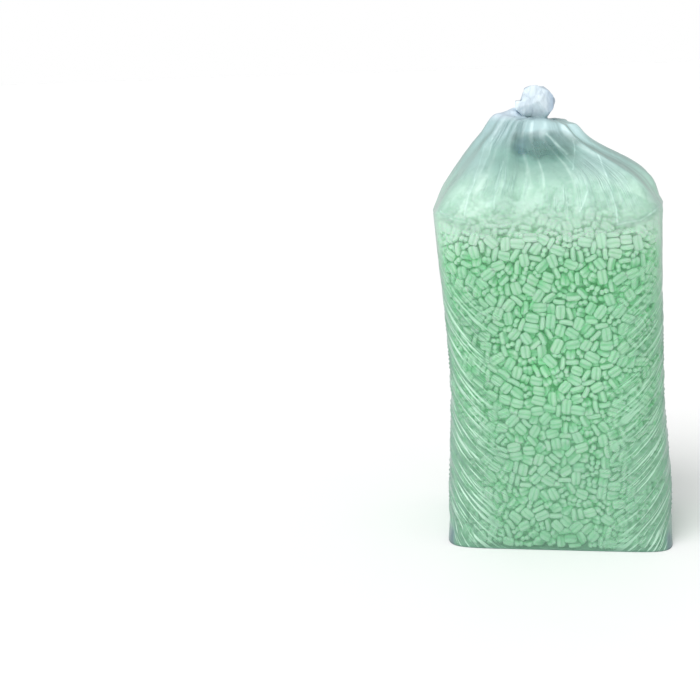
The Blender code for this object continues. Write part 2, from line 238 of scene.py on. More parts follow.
def section(heights):
    """The body's half width, half depth and shift at each height."""
    values = np.array(BODY, float)
    heights = np.clip(heights, 0, SHOULDER_HEIGHT)
    found = smooth_curve(values[:, 0], values[:, 1:], np.atleast_1d(heights))
    return found[:, 0] / 2, found[:, 1] / 2, found[:, 3]


def plan_curve(width, depth, squareness, count):
    """Points evenly spaced round a rounded rectangle from its front's middle, and its normals there."""
    angles = np.linspace(-math.pi / 2, 1.5 * math.pi, 2401)
    half = np.array([width / 2, depth / 2])
    circle = np.column_stack([np.cos(angles), np.sin(angles)])
    fine = half * np.sign(circle) * np.abs(circle) ** (2 / squareness)
    run = np.concatenate([[0], np.cumsum(np.linalg.norm(np.diff(fine, axis=0), axis=1))])
    paces = np.arange(count) / count * run[-1]
    points = np.column_stack([np.interp(paces, run, fine[:, 0]), np.interp(paces, run, fine[:, 1])])
    normals = np.sign(points) * np.abs(points / half) ** (squareness - 1) / half
    return points, normals / np.linalg.norm(normals, axis=1)[:, None]


def smoothstep(low, high, x):
    t = np.clip((x - low) / (high - low), 0, 1)
    return t * t * (3 - 2 * t)


def waves(x, y, z=0.0):
    """Smooth noise from -1 to 1 at arrays of places."""
    x, y, z = np.broadcast_arrays(x, y, z)
    flat = zip(x.ravel().tolist(), y.ravel().tolist(), z.ravel().tolist())
    return np.array([noise.noise(place) for place in flat]).reshape(x.shape)


def folds(x, y, z=0.0):
    """Sharp-crested noise from 0 to 1, like the ridges between flat facets of film."""
    return 1 - np.minimum(1, np.abs(waves(x, y, z)) * 2.2)


# Mesh helpers

def new_object(name, mesh, material, smooth=True):
    mesh.materials.append(material)
    if smooth:
        mesh.shade_smooth()
    obj = bpy.data.objects.new(name, mesh)
    bpy.context.scene.collection.objects.link(obj)
    return obj


def mesh_of(name, points, polygons):
    """A mesh from points and a list of arrays of polygons, each array of one count of corners."""
    mesh = bpy.data.meshes.new(name)
    mesh.vertices.add(len(points))
    mesh.vertices.foreach_set("co", np.asarray(points, np.float32).ravel())
    corners = np.concatenate([part.ravel() for part in polygons])
    sizes = np.concatenate([np.full(len(part), part.shape[1]) for part in polygons])
    mesh.loops.add(len(corners))
    mesh.loops.foreach_set("vertex_index", corners.astype(np.int32))
    mesh.polygons.add(len(sizes))
    starts = np.concatenate([[0], np.cumsum(sizes)[:-1]])
    mesh.polygons.foreach_set("loop_start", starts.astype(np.int32))
    mesh.polygons.foreach_set("loop_total", sizes.astype(np.int32))
    mesh.update(calc_edges=True)
    mesh.validate()
    return mesh


def grid_quads(rows, columns, first=0):
    """Quads of a grid of points that closes on itself sideways."""
    low = np.arange(rows - 1)[:, None] * columns
    i = np.arange(columns)[None, :]
    j = (i + 1) % columns
    quads = np.stack([low + i, low + j, low + columns + j, low + columns + i], axis=-1)
    return quads.reshape(-1, 4) + first


# Peanuts

def peanut_kind(draw):
    """One peanut's points, along X, as rings of a two-lobed section, a little bent and uneven."""
    reach = LOBE_SPACING / 2
    open_angle = math.pi - math.acos(reach / LOBE_RADIUS)
    outline = []
    for side in (1, -1):
        fat = draw.uniform(0.93, 1.07)
        for i in range(LOBE_STEPS):
            angle = open_angle * (2 * i / LOBE_STEPS - 1) + (0 if side == 1 else math.pi)
            radius = fat * LOBE_RADIUS
            outline.append((side * reach + radius * math.cos(angle), radius * math.sin(angle)))
    outline = np.array(outline)
    half = PEANUT_LENGTH / 2 * draw.uniform(0.84, 1.14)
    bend = draw.uniform(-0.0032, 0.0032)
    taper = draw.uniform(-0.06, 0.06)
    skew = draw.uniform(-0.15, 0.15)
    rings = []
    for t, scale in PEANUT_RINGS:
        ring = outline * scale * (1 + taper * t) * draw.uniform(0.97, 1.03)
        x = t * half + skew * ring[:, 0]
        rings.append(np.column_stack([x, ring[:, 0], ring[:, 1] + bend * t * t]))
    return np.concatenate(rings)


def peanut_polygons():
    rings, around = len(PEANUT_RINGS), 2 * LOBE_STEPS
    sides = grid_quads(rings, around)[:, ::-1]
    first = np.arange(around)[None, :]
    last = np.arange(around)[None, ::-1] + (rings - 1) * around
    return sides, np.concatenate([first, last])


# The spheres that stand for a peanut while it is packed
CLUMP = np.array([(x, y, 0.0) for x in (-0.0112, 0.0, 0.0112) for y in (-0.0064, 0.0064)])
CLUMP_RADIUS = 0.0095


def heap_height(x, y):
    """The heap's top: highest at the middle, uneven, and falling to its rim."""
    half_width, half_depth, shift = (found[0] for found in section(RIM_HEIGHT))
    across = np.clip((x - shift) / half_width, -1, 1)
    back = np.clip(y / half_depth, -1, 1)
    out = np.minimum(1, np.hypot(across, back))
    edge = RIM_HEIGHT + SIDE_RISE * across**2 - FRONT_DIP * smoothstep(0, 1, -back) * (1 - across**2)
    return edge + CROWN_RISE * (1 - out**2)


def wall_distance(points):
    """How far points are inside the film's body, and the way out, as arrays."""
    half_width, half_depth, shift = section(points[:, 2])
    half_width = half_width - FILM_CLEARANCE
    half_depth = half_depth - FILM_CLEARANCE
    x = (points[:, 0] - shift) / half_width
    y = points[:, 1] / half_depth
    share = (np.abs(x) ** SQUARENESS + np.abs(y) ** SQUARENESS) ** (1 / SQUARENESS)
    share = np.maximum(1e-6, share)
    slope = np.column_stack([
        np.sign(x) * (np.abs(x) / share) ** (SQUARENESS - 1) / half_width,
        np.sign(y) * (np.abs(y) / share) ** (SQUARENESS - 1) / half_depth,
    ])
    steep = np.linalg.norm(slope, axis=1)
    out = np.column_stack([slope / steep[:, None], np.zeros(len(points))])
    return (1 - share) / steep, out


def touching_pairs(points, cell):
    """Index pairs of points whose cells are the same or next to each other."""
    span = 1000
    keys3 = np.floor(points / cell).astype(np.int64) + span // 5
    keys = (keys3[:, 0] * span + keys3[:, 1]) * span + keys3[:, 2]
    order = np.argsort(keys, kind="stable")
    sorted_keys = keys[order]
    found = []
    for dx in (-1, 0, 1):
        for dy in (-1, 0, 1):
            for dz in (-1, 0, 1):
                step = (dx * span + dy) * span + dz
                if step < 0:
                    continue
                low = np.searchsorted(sorted_keys, sorted_keys + step, side="left")
                high = np.searchsorted(sorted_keys, sorted_keys + step, side="right")
                count = high - low
                a = np.repeat(np.arange(len(points)), count)
                within = np.arange(count.sum()) - np.repeat(np.cumsum(count) - count, count)
                b = np.repeat(low, count) + within
                if step == 0:
                    keep = a < b
                    a, b = a[keep], b[keep]
                found.append((order[a], order[b]))
    return np.concatenate([f[0] for f in found]), np.concatenate([f[1] for f in found])


def turn_matrices(quats):
    w, x, y, z = quats.T
    return np.stack([
        np.stack([1 - 2 * (y * y + z * z), 2 * (x * y - z * w), 2 * (x * z + y * w)], -1),
        np.stack([2 * (x * y + z * w), 1 - 2 * (x * x + z * z), 2 * (y * z - x * w)], -1),
        np.stack([2 * (x * z - y * w), 2 * (y * z + x * w), 1 - 2 * (x * x + y * y)], -1),
    ], 1)


def turned(quats, spins):
    """Quaternions after a small turn each, given as rotation vectors."""
    w, x, y, z = quats.T
    a, b, c = (spins / 2).T
    made = np.stack([
        w - a * x - b * y - c * z,
        x + a * w + b * z - c * y,
        y + b * w + c * x - a * z,
        z + c * w + a * y - b * x,
    ], -1)
    return made / np.linalg.norm(made, axis=1)[:, None]


def first_places(draw):
    """Random places in a layer against the film's walls, base and the heap's top, and the ways out there."""
    wide, deep = LAYER_HALF_WIDTH, LAYER_HALF_DEPTH
    side_area = 2 * (2 * wide + 2 * deep) * RIM_HEIGHT * 0.95
    flat_area = 4 * wide * deep * 0.95
    volume = CLUMP_RADIUS**3 * 4 / 3 * math.pi * 4
    per_area = LAYER_DEPTH * PACKING / volume
    places, outs = [], []
    count = int(side_area * per_area)
    around = draw.uniform(0, 1, count)
    height = draw.uniform(0.01, RIM_HEIGHT - 0.005, count)
    half_width, half_depth, shift = section(height)
    ring_places = 2000
    ring, ring_out = plan_curve(2 * wide, 2 * deep, SQUARENESS, ring_places)
    pick = (around * ring_places).astype(int)
    depth = draw.uniform(0.011, LAYER_DEPTH, count)
    scale = np.column_stack([half_width / wide, half_depth / deep])
    flat = ring[pick] * scale - ring_out[pick] * depth[:, None]
    places.append(np.column_stack([flat[:, 0] + shift, flat[:, 1], height]))
    outs.append(np.column_stack([ring_out[pick], np.zeros(count)]))
    for top in (False, True):
        count = int(flat_area * per_area * (0.9 if top else 0.55))
        x = draw.uniform(-wide, wide, count)
        y = draw.uniform(-deep, deep, count)
        inside = (np.abs(x / wide) ** SQUARENESS + np.abs(y / deep) ** SQUARENESS) < 0.8
        x, y = x[inside] * 0.95, y[inside] * 0.95
        if top:
            x = x + SHOULDER_SHIFT
            z = heap_height(x, y) - draw.uniform(0.005, LAYER_DEPTH * 0.8, len(x))
        else:
            x = x + FOOT_SHIFT
            z = draw.uniform(0.011, LAYER_DEPTH * 0.55, len(x))
        places.append(np.column_stack([x, y, z]))
        outs.append(np.tile([0, 0, 1.0 if top else -1.0], (len(x), 1)))
    return np.concatenate(places), np.concatenate(outs)


def first_turns(draw, outs):
    """Peanuts lying roughly flat against what holds them in, turned about at random."""
    count = len(outs)
    half = draw.uniform(0, math.pi, count)
    quats = np.column_stack([np.cos(half), np.zeros(count), np.zeros(count), np.sin(half)])
    up = np.tile([0.0, 0.0, 1.0], (count, 1))
    axis = np.cross(up, outs)
    length = np.linalg.norm(axis, axis=1)
    angle = np.arctan2(length, outs[:, 2])
    axis = np.where(length[:, None] > 1e-6, axis / np.maximum(length, 1e-6)[:, None], [1.0, 0.0, 0.0])
    quats = turned_far(quats, axis * angle[:, None])
    return turned_far(quats, draw.normal(0, draw.choice([0.8, 2.5], (count, 1)), (count, 3)))


def turned_far(quats, turns):
    """Quaternions after turns of any size, given as rotation vectors."""
    angle = np.linalg.norm(turns, axis=1)
    axis = turns / np.maximum(angle, 1e-9)[:, None]
    cos, (a, b, c) = np.cos(angle / 2), (axis * np.sin(angle / 2)[:, None]).T
    w, x, y, z = quats.T
    return np.stack([
        cos * w - a * x - b * y - c * z,
        cos * x + a * w + b * z - c * y,
        cos * y + b * w + c * x - a * z,
        cos * z + c * w + a * y - b * x,
    ], -1)


def pack_peanuts(draw):
    """Pushes overlapping peanuts apart and out against the film until they lie packed."""
    places, outs = first_places(draw)
    count = len(places)
    quats = first_turns(draw, outs)
    pairs = None
    for step in range(PACKING_STEPS):
        share = step / PACKING_STEPS
        turns = turn_matrices(quats)
        arms = np.einsum("nij,kj->nki", turns, CLUMP)
        balls = (places[:, None, :] + arms).reshape(-1, 3)
        if step % PAIR_STEPS == 0:
            a, b = touching_pairs(balls, 2 * CLUMP_RADIUS + PAIR_SLACK)
            keep = (a // len(CLUMP)) != (b // len(CLUMP))
            pairs = a[keep], b[keep]
        a, b = pairs
        gap = balls[b] - balls[a]
        distance = np.maximum(1e-6, np.linalg.norm(gap, axis=1))
        push = np.maximum(0, 2 * CLUMP_RADIUS - distance)
        hit = push > 0
        a, b = a[hit], b[hit]
        force = gap[hit] / distance[hit][:, None] * (push[hit] * 0.5)[:, None]
        moves = np.zeros_like(balls)
        for axis in range(3):
            along = force[:, axis]
            moves[:, axis] += np.bincount(b, along, len(balls)) - np.bincount(a, along, len(balls))
        room, out = wall_distance(balls)
        push_in = np.maximum(0, CLUMP_RADIUS - room)
        moves -= out * push_in[:, None]
        moves[:, 2] += np.maximum(0, CLUMP_RADIUS + FILM_CLEARANCE - balls[:, 2])
        roof = heap_height(balls[:, 0], balls[:, 1]) - CLUMP_RADIUS
        moves[:, 2] -= np.maximum(0, balls[:, 2] - roof)
        moves = moves.reshape(count, -1, 3)
        shift = moves.sum(axis=1) / MOVE_SHARE
        spin = np.cross(arms, moves).sum(axis=1) / TURN_SHARE
        pull = PULL * (1 - PULL_FADE * share)
        places = places + np.clip(shift, -MOST_MOVE, MOST_MOVE) + outs * pull
        quats = turned(quats, np.clip(spin, -MOST_TURN, MOST_TURN))
    return places, quats


def peanut_pieces(material):
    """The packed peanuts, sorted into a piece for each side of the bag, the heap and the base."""
    draw = np.random.default_rng(SEED)
    places, quats = pack_peanuts(draw)
    turns = turn_matrices(quats)
    kinds = np.stack([peanut_kind(draw) for _ in range(PEANUT_KINDS)])
    sides, caps = peanut_polygons()
    kind = draw.integers(0, PEANUT_KINDS, len(places))
    room, out = wall_distance(places)
    under_roof = heap_height(places[:, 0], places[:, 1]) - places[:, 2]
    sideways = np.abs(out[:, 0]) > np.abs(out[:, 1])
    region = np.where(sideways, np.where(out[:, 0] > 0, 1, 3), np.where(out[:, 1] > 0, 2, 0))
    region[under_roof < np.minimum(room, HEAP_BAND)] = 4
    region[(places[:, 2] < BASE_BAND) & (room > places[:, 2])] = 5
    made = []
    for index, name in enumerate(("front", "right", "back", "left", "heap", "base")):
        mine = np.flatnonzero(region == index)
        points = np.einsum("nij,nkj->nki", turns[mine], kinds[kind[mine]]) + places[mine][:, None, :]
        deep = wall_distance(points.reshape(-1, 3))[0].reshape(points.shape[:2]).min(axis=1)
        points -= (out[mine] * np.maximum(0, PEANUT_MARGIN - deep)[:, None])[:, None, :]
        points[..., 2] += np.maximum(0, FILM_CLEARANCE - points[..., 2].min(axis=1))[:, None]
        per = points.shape[1]
        offset = (np.arange(len(mine)) * per)[:, None, None]
        quads = (sides[None] + offset).reshape(-1, 4)
        ends = (caps[None] + offset).reshape(-1, caps.shape[1])
        mesh = mesh_of(f"peanuts_{name}", points.reshape(-1, 3), [quads, ends])
        flat = points.reshape(-1, 3)
        # How deep each point lies; the foam paints a highlight where this is small and a green glow where it
        # is large
        depth = np.minimum(wall_distance(flat)[0], heap_height(flat[:, 0], flat[:, 1]) - flat[:, 2])
        add_values(mesh, "depth", "FLOAT", "value", depth)
        # Marks the notch between the lobes, where the foam paints shade
        add_values(mesh, "groove_shade", "FLOAT", "value", np.arange(len(flat)) % LOBE_STEPS == 0)
        made.append(new_object(f"peanuts_{name}", mesh, material))
    return made


def core_piece(material):
    """What shows deep between the outer peanuts: more foam, in shadow."""
    rows = []
    columns = CORE_COLUMNS
    upright = np.linspace(CORE_INSET, RIM_HEIGHT - CORE_INSET * 0.6, CORE_ROWS)
    for height in np.concatenate([[CORE_INSET * 0.5], upright]):
        half_width, half_depth, shift = (found[0] for found in section(height))
        points, normals = plan_curve(2 * half_width, 2 * half_depth, SQUARENESS, columns)
        ring = points - normals * CORE_INSET
        rows.append(np.column_stack([ring[:, 0] + shift, ring[:, 1], np.full(columns, height)]))
    rim = rows[-1]
    for t in np.linspace(0.9, 0.1, 9):
        ring = rim.copy()
        middle = rim.mean(axis=0)
        ring[:, :2] = middle[:2] + (rim[:, :2] - middle[:2]) * t
        ring[:, 2] = heap_height(ring[:, 0], ring[:, 1]) - CORE_INSET
        rows.append(ring)
    grid = np.stack(rows)
    grid[..., 2] += CORE_LUMPS * waves(*np.moveaxis(grid * CORE_LUMP_SCALE, -1, 0))
    count = len(rows)
    caps = np.stack([np.arange(columns)[::-1], np.arange(columns) + (count - 1) * columns])
    mesh = mesh_of("foam_core", grid.reshape(-1, 3), [grid_quads(count, columns), caps])
    return new_object("foam_core", mesh, material)


# Film

def film_grid():
    """The film's levels, its points as rows of a grid, and the outward normal of each point."""
    base = np.array([BODY[0]] * (BASE_ROWS - 1), float)
    base[:, 1:3] *= np.linspace(0.08, 0.97, BASE_ROWS - 1)[:, None]
    rows = np.concatenate([
        base,
        profile(BODY, BODY_ROWS),
        profile([BODY[-1]] + ROOF, ROOF_ROWS)[1:],
        profile([ROOF[-1]] + TUFT, TUFT_ROWS)[1:],
    ])
    points, normals = [], []
    for row in rows:
        flat, out = plan_curve(row[1], row[2], row[3], COLUMNS)
        points.append(np.column_stack([flat[:, 0] + row[4], flat[:, 1], np.full(COLUMNS, row[0])]))
        normals.append(np.column_stack([out, np.zeros(COLUMNS)]))
    return rows, np.stack(points), np.stack(normals)


def pleat_wave():
    """How far each column stands out of its ring, from -1 in a valley to 1 on a ridge, as in the solid."""
    drawn = random.Random(PLEAT_SEED)
    depths = np.array([1 + PLEAT_VARIATION * drawn.uniform(-1, 1) for _ in range(PLEATS)])
    place = np.arange(COLUMNS) / COLUMNS * PLEATS
    pleat = place.astype(int)
    phase = place - pleat
    depth = depths[pleat] + (depths[(pleat + 1) % PLEATS] - depths[pleat]) * smoothstep(0.5, 1, phase)
    return depth * np.cos(2 * math.pi * phase)


def pleats(rows):
    """How far the gathered film stands out of its sections, and how sharp its folds are there."""
    around = 2 * math.pi * np.arange(COLUMNS) / COLUMNS
    x, y = np.cos(around), np.sin(around)
    first_tuft = BASE_ROWS - 1 + BODY_ROWS + ROOF_ROWS
    wave = pleat_wave()
    busy = smoothstep(-0.1, 0.4, waves(x * 1.1 - 0.6, y * 1.1, 0.4))
    stand, sharp = np.zeros((len(rows), COLUMNS)), np.zeros((len(rows), COLUMNS))
    for i, row in enumerate(rows):
        height, width, pleat = row[0], row[1], row[5]
        if i < first_tuft:
            rise = float(smoothstep(SHOULDER_HEIGHT - 0.12, COLLAR_HEIGHT - 0.05, height))
            if rise == 0:
                continue
            reach = width / ROOF[0].width
            flow = height * 1.3
            broad = waves(x * 2.1, y * 2.1, flow)
            crest = folds(x * 4.1, y * 4.1, flow + 5)
            hair = folds(x * 9, y * 9, flow * 2.5 + 9) * busy
            wide_folds = BROAD_RISE * broad + CREST_RISE * (crest - 0.4)
            stand[i] = pleat * wave + rise * (reach * wide_folds + HAIR_RISE * hair)
            sharp[i] = rise * np.maximum(smoothstep(0.8, 1, crest) * 0.7, smoothstep(0.75, 1, hair) * 0.5)
        else:
            turn = around + (height - NECK_HEIGHT) * TUFT_TWIST
            x_turned, y_turned = np.cos(turn), np.sin(turn)
            lump = waves(x_turned * 1.3, y_turned * 1.3, 3.1 + height * 18)
            crest = folds(x_turned * 2.6, y_turned * 2.6, 7 + height * 14)
            hair = folds(x_turned * 8, y_turned * 8, 2 + height * 9)
            stand[i] = width / 2 * (0.10 * lump + 0.12 * (crest - 0.5) + 0.07 * (hair - 0.5))
            sharp[i] = 0.5 * crest + 0.5 * hair
    return stand, sharp


def wrinkles(x, y, z):
    """Tension wrinkles of the filled body: lumps over the peanuts, and long low folds that sag like a U."""
    lumps = FINE_LUMPS * waves(x * 26, y * 26, z * 26) + BROAD_LUMPS * waves(x * 7, y * 7, z * 7)
    corner = ((x - WAIST_SHIFT) / HALF_WIDTH) ** 2 + SIDE_SAG * (1 - (y / HALF_DEPTH) ** 2)
    sag = z - SAG * corner
    spread = np.sign(y) * 3 + np.sign(x) * 1.5
    long_folds = folds(x * 4, y * 4 + spread, sag * 34)
    low = smoothstep(1.02, 0.60, z) * smoothstep(0.02, 0.09, z)
    edge = smoothstep(0.12, 0.80, corner)
    ridge = smoothstep(0.30, 1, long_folds) * low * edge
    upright = folds(x * 24, y * 24, z * 5) * smoothstep(0.75, 1.0, z) * smoothstep(1.15, 1.0, z)
    body = smoothstep(0.0, 0.03, z) * (z < SHOULDER_HEIGHT + 0.2)
    return (lumps + FOLD_RISE * ridge + UPRIGHT_RISE * upright) * body, ridge * body


def creases(x, y, z):
    """How far the film stands out in ridges along the front's long creases."""
    stand = np.zeros(x.shape)
    for strength, width, line in CREASES:
        away = np.full(x.shape, 1.0)
        for (x0, z0), (x1, z1) in zip(line, line[1:]):
            along = np.array([x1 - x0, z1 - z0])
            run = np.clip(((x - x0) * along[0] + (z - z0) * along[1]) / (along @ along), 0, 1)
            away = np.minimum(away, np.hypot(x - x0 - along[0] * run, z - z0 - along[1] * run))
        reach = 4 * width
        stand = np.maximum(stand, strength * reach * CREASE_RISE * np.maximum(0, 1 - away / reach))
    return stand * smoothstep(-0.02, -0.06, y)


def cut_facets(points, middle, facets):
    """Pulls points in towards the middle until they lie on the near side of each facet."""
    arms = points - middle
    for way, distance in facets:
        way = np.array(way) / np.linalg.norm(way)
        reach = arms @ way
        arms = arms * np.minimum(1, distance / np.maximum(reach, 1e-9))[..., None]
    return middle + arms


def film_piece(material):
    rows, grid, normals = film_grid()
    stand, sharp = pleats(rows)
    x, y, z = grid[..., 0], grid[..., 1], grid[..., 2]
    wrinkle, ridge = wrinkles(x, y, z)
    grid[..., 2] -= rows[:, 6, None] * (x - rows[:, 4, None]) / (rows[:, 1, None] / 2)
    off_knot = (x - NECK_FRONT[0]) ** 2 + (z - NECK_FRONT[2]) ** 2
    stand = stand * (1 - NECK_SMOOTHING * np.exp(-off_knot / NECK_REACH**2) * (y < 0))
    grid = grid + normals * (stand + wrinkle + creases(x, y, z))[..., None]
    x, y, z = grid[..., 0], grid[..., 1], grid[..., 2]
    gathered = smoothstep(COLLAR_HEIGHT - 0.03, COLLAR_HEIGHT + 0.03, z)
    open_film = gathered * smoothstep(0.075, 0.15, rows[:, 1])[:, None]
    open_film[-TUFT_ROWS:] = 0
    beside = np.exp(-((x - LOBE_MIDDLE[0]) ** 2 + y**2) / 0.035**2)
    grid[..., 2] += open_film * (0.010 * waves(x * 14, y * 14, 4.0) + 0.030 * beside)
    tied = grid[-TUFT_ROWS:]
    ruffle = TUFT_RUFFLE * folds(tied[..., 0] * 34, tied[..., 1] * 34, tied[..., 2] * 16)
    tied = cut_facets(tied, TUFT_MIDDLE, TUFT_FACETS)
    arms = tied - TUFT_MIDDLE
    away = arms / np.maximum(1e-6, np.linalg.norm(arms, axis=-1))[..., None]
    lobe_way = np.array(LOBE_MIDDLE) - TUFT_MIDDLE
    lobe_way /= np.linalg.norm(lobe_way)
    lobe = smoothstep(0.66, 0.95, away @ lobe_way)
    rise = smoothstep(NECK_HEIGHT + 0.005, NECK_HEIGHT + 0.03, tied[..., 2])
    lobe = lobe * (0.8 + 0.4 * folds(tied[..., 0] * 20, tied[..., 1] * 20 + 4, tied[..., 2] * 20))
    tied = tied + away * ((ruffle - 0.0015) * rise + LOBE_REACH * lobe)[..., None]
    x, z = tied[..., 0], tied[..., 2]
    in_lobe = smoothstep(LOBE_SIDES[0], LOBE_SIDES[0] - 0.004, x)
    tied[..., 2] = z + in_lobe * np.minimum(0, LOBE_TOP - z)
    tied[..., 0] = np.maximum(x, LOBE_SIDES[1] + 0.1 * (x - LOBE_SIDES[1]))
    grid[-TUFT_ROWS:] = tied
    middle = grid[0].mean(axis=0)
    points = np.concatenate([grid.reshape(-1, 3), middle[None]])
    hub = len(points) - 1
    i = np.arange(COLUMNS)
    fan = np.column_stack([(i + 1) % COLUMNS, i, np.full(COLUMNS, hub)])
    mesh = mesh_of("film", points, [grid_quads(len(grid), COLUMNS), fan])
    steps = np.linalg.norm(np.diff(rows[:, :2] * (1, 0.5), axis=0), axis=1)
    along = np.concatenate([[0], np.cumsum(steps)])
    turn = 2 * math.pi * i / COLUMNS
    weave = np.stack(np.broadcast_arrays(np.cos(turn)[None], np.sin(turn)[None], along[:, None]), axis=-1)
    weave = np.append(weave.reshape(-1, 3), [[0, 0, 0]], axis=0)
    add_values(mesh, "weave", "FLOAT_VECTOR", "vector", weave)
    add_values(mesh, "sharp", "FLOAT", "value", np.append(np.clip(sharp + ridge, 0, 1).ravel(), 0))
    return new_object("film", mesh, material)


def add_values(mesh, name, kind, field, values):
    attribute = mesh.attributes.new(name, kind, "POINT")
    attribute.data.foreach_set(field, np.asarray(values, np.float32).ravel())


# Materials

class Nodes:
    """A material's node tree, built by short calls."""

    def __init__(self, name):
        self.material = bpy.data.materials.new(name)
        self.material.use_nodes = True
        self.tree = self.material.node_tree
        self.shader = self.tree.nodes["Principled BSDF"]

    def put(self, name, value):
        socket = self.shader.inputs[name]
        if isinstance(value, bpy.types.NodeSocket):
            self.tree.links.new(value, socket)
        else:
            socket.default_value = value

    def add(self, kind, **inputs):
        node = self.tree.nodes.new(kind)
        for name, value in inputs.items():
            self.feed(node, name.replace("_", " "), value)
        return node

    def feed(self, node, name, value):
        socket = node.inputs[name]
        if isinstance(value, bpy.types.NodeSocket):
            self.tree.links.new(value, socket)
        else:
            socket.default_value = value

    def math(self, operation, a, b=0.0, clamp=False):
        node = self.tree.nodes.new("ShaderNodeMath")
        node.operation = operation
        node.use_clamp = clamp
        self.feed_index(node, 0, a)
        self.feed_index(node, 1, b)
        return node.outputs[0]

    def plus(self, a, b, clamp=False):
        return self.math("ADD", a, b, clamp)

    def minus(self, a, b):
        return self.math("SUBTRACT", a, b)

    def times(self, a, b):
        return self.math("MULTIPLY", a, b)

    def feed_index(self, node, index, value):
        if isinstance(value, bpy.types.NodeSocket):
            self.tree.links.new(value, node.inputs[index])
        else:
            node.inputs[index].default_value = value

    def noise(self, vector, scale, detail=2.0, roughness=0.5):
        node = self.add("ShaderNodeTexNoise", Scale=scale, Detail=detail, Roughness=roughness)
        self.tree.links.new(vector, node.inputs["Vector"])
        return node.outputs["Fac"]

    def ramp(self, value, low, high, to_low=0.0, to_high=1.0):
        node = self.tree.nodes.new("ShaderNodeMapRange")
        node.interpolation_type = "SMOOTHSTEP"
        self.tree.links.new(value, node.inputs["Value"])
        names = ("From Min", "From Max", "To Min", "To Max")
        for name, number in zip(names, (low, high, to_low, to_high)):
            node.inputs[name].default_value = number
        return node.outputs["Result"]

    def mix(self, share, a, b):
        node = self.tree.nodes.new("ShaderNodeMix")
        node.data_type = "RGBA"
        node.clamp_factor = True
        self.tree.links.new(share, node.inputs[0])
        self.feed_index(node, 6, a)
        self.feed_index(node, 7, b)
        return node.outputs[2]

    def place(self):
        """The place on the object, and its X, Y and Z."""
        coordinates = self.tree.nodes.new("ShaderNodeTexCoord")
        split = self.tree.nodes.new("ShaderNodeSeparateXYZ")
        self.tree.links.new(coordinates.outputs["Object"], split.inputs[0])
        return coordinates.outputs["Object"], *split.outputs

    def attribute(self, name, output):
        node = self.tree.nodes.new("ShaderNodeAttribute")
        node.attribute_name = name
        return node.outputs[output]

    def line(self, value, narrowness):
        """Thin lines where the value passes its middle."""
        away = self.times(self.math("ABSOLUTE", self.minus(value, 0.5)), narrowness)
        return self.math("SUBTRACT", 1.0, away, clamp=True)

    def vector(self, x, y, z):
        node = self.tree.nodes.new("ShaderNodeCombineXYZ")
        for index, value in enumerate((x, y, z)):
            self.feed_index(node, index, value)
        return node.outputs[0]

    def vector_math(self, operation, a, b=None, scale=None):
        node = self.tree.nodes.new("ShaderNodeVectorMath")
        node.operation = operation
        self.feed_index(node, 0, a)
        if b is not None:
            self.feed_index(node, 1, b)
        if scale is not None:
            self.feed(node, "Scale", scale)
        return node.outputs["Value" if operation in ("DOT_PRODUCT", "LENGTH", "DISTANCE") else "Vector"]

    def away_from_line(self, flat, places):
        """How far flat places are from a line through the given X and Z."""
        nearest = None
        for (x0, z0), (x1, z1) in zip(places, places[1:]):
            way = Vector((x1 - x0, 0, z1 - z0))
            arm = self.vector_math("SUBTRACT", flat, (x0, 0, z0))
            run = self.vector_math("DOT_PRODUCT", arm, way / way.length_squared)
            run = self.plus(run, 0.0, clamp=True)
            foot = self.vector_math("SCALE", tuple(way), scale=run)
            away = self.vector_math("DISTANCE", arm, foot)
            nearest = away if nearest is None else self.math("MINIMUM", nearest, away)
        return nearest

    def bump(self, height, strength, distance, below=None):
        node = self.add("ShaderNodeBump", Strength=strength, Distance=distance)
        self.tree.links.new(height, node.inputs["Height"])
        if below is not None:
            self.tree.links.new(below, node.inputs["Normal"])
        return node.outputs["Normal"]


